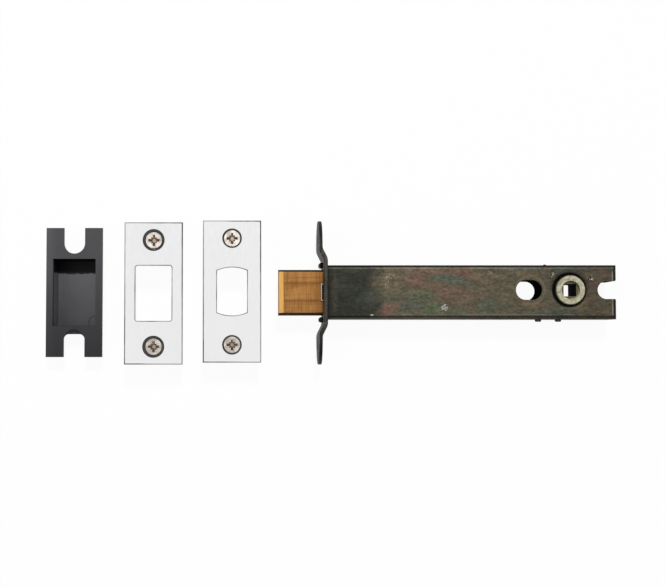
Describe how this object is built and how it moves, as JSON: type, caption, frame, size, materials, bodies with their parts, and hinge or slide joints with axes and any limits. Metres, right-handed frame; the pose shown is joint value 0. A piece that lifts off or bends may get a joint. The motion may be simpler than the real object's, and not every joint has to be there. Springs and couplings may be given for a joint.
{
  "type": "tubular deadbolt",
  "caption": "Tubular mortice deadbolt with a brass bolt thrown by a square-spindle follower, laid out flat with its forend plate, strike plate, screws and dust box.",
  "frame": {"origin": "centre of the follower, on the spindle's axis, halfway through the case's thickness", "axes": "+X from the bolt's nose to the case's rear end, +Y along the forend, +Z along the spindle, up from the table that the set lies on"},
  "size_m": [0.2426, 0.0614, 0.025],
  "materials": {
    "bronzed_steel": "heat-coloured, passivated, dull",
    "forend_steel": "dark passivated pressing",
    "rivet_steel": "plain steel",
    "bolt_brass": "drawn and sawn brass, unpolished",
    "plain_steel": "blanked strip",
    "spring_steel": "blued spring strip",
    "follower_zinc": "yellow passivated",
    "polished_chrome": "polished chrome plate",
    "screw_nickel": "nickel plated",
    "black_plastic": "moulded, fine grain"
  },
  "bodies": {
    "lock": {"case_cover": "bronzed_steel", "case_pillar": "rivet_steel", "case_shell": "bronzed_steel", "detent_spring": "spring_steel", "dust_box": "black_plastic", "forend_plate": "polished_chrome", "forend_screw_lower": "screw_nickel", "forend_screw_upper": "screw_nickel", "inner_forend": "forend_steel", "spring_rivet_front": "rivet_steel", "spring_rivet_rear": "rivet_steel", "strike_plate": "polished_chrome", "strike_screw_lower": "screw_nickel", "strike_screw_upper": "screw_nickel"},
    "bolt": {"bolt_head": "bolt_brass", "bolt_tail": "plain_steel", "drive_pin": "rivet_steel", "tail_rivet_front": "rivet_steel", "tail_rivet_rear": "rivet_steel"},
    "follower": {"follower": "follower_zinc"}
  },
  "joints": [
    {"name": "bolt_slide", "type": "slide", "parent": "lock", "child": "bolt", "axis": [1, 0, 0], "range_m": [0, 0.0145]},
    {"name": "follower_turn", "type": "hinge", "parent": "lock", "child": "follower", "pos_m": [0, 0, 0], "axis": [0, 0, 1], "range_deg": [-101.3, 0]}
  ],
  "couplings": [
    {"joint": "follower_turn", "follows": "bolt_slide", "rad_per_m": -121.87}
  ]
}
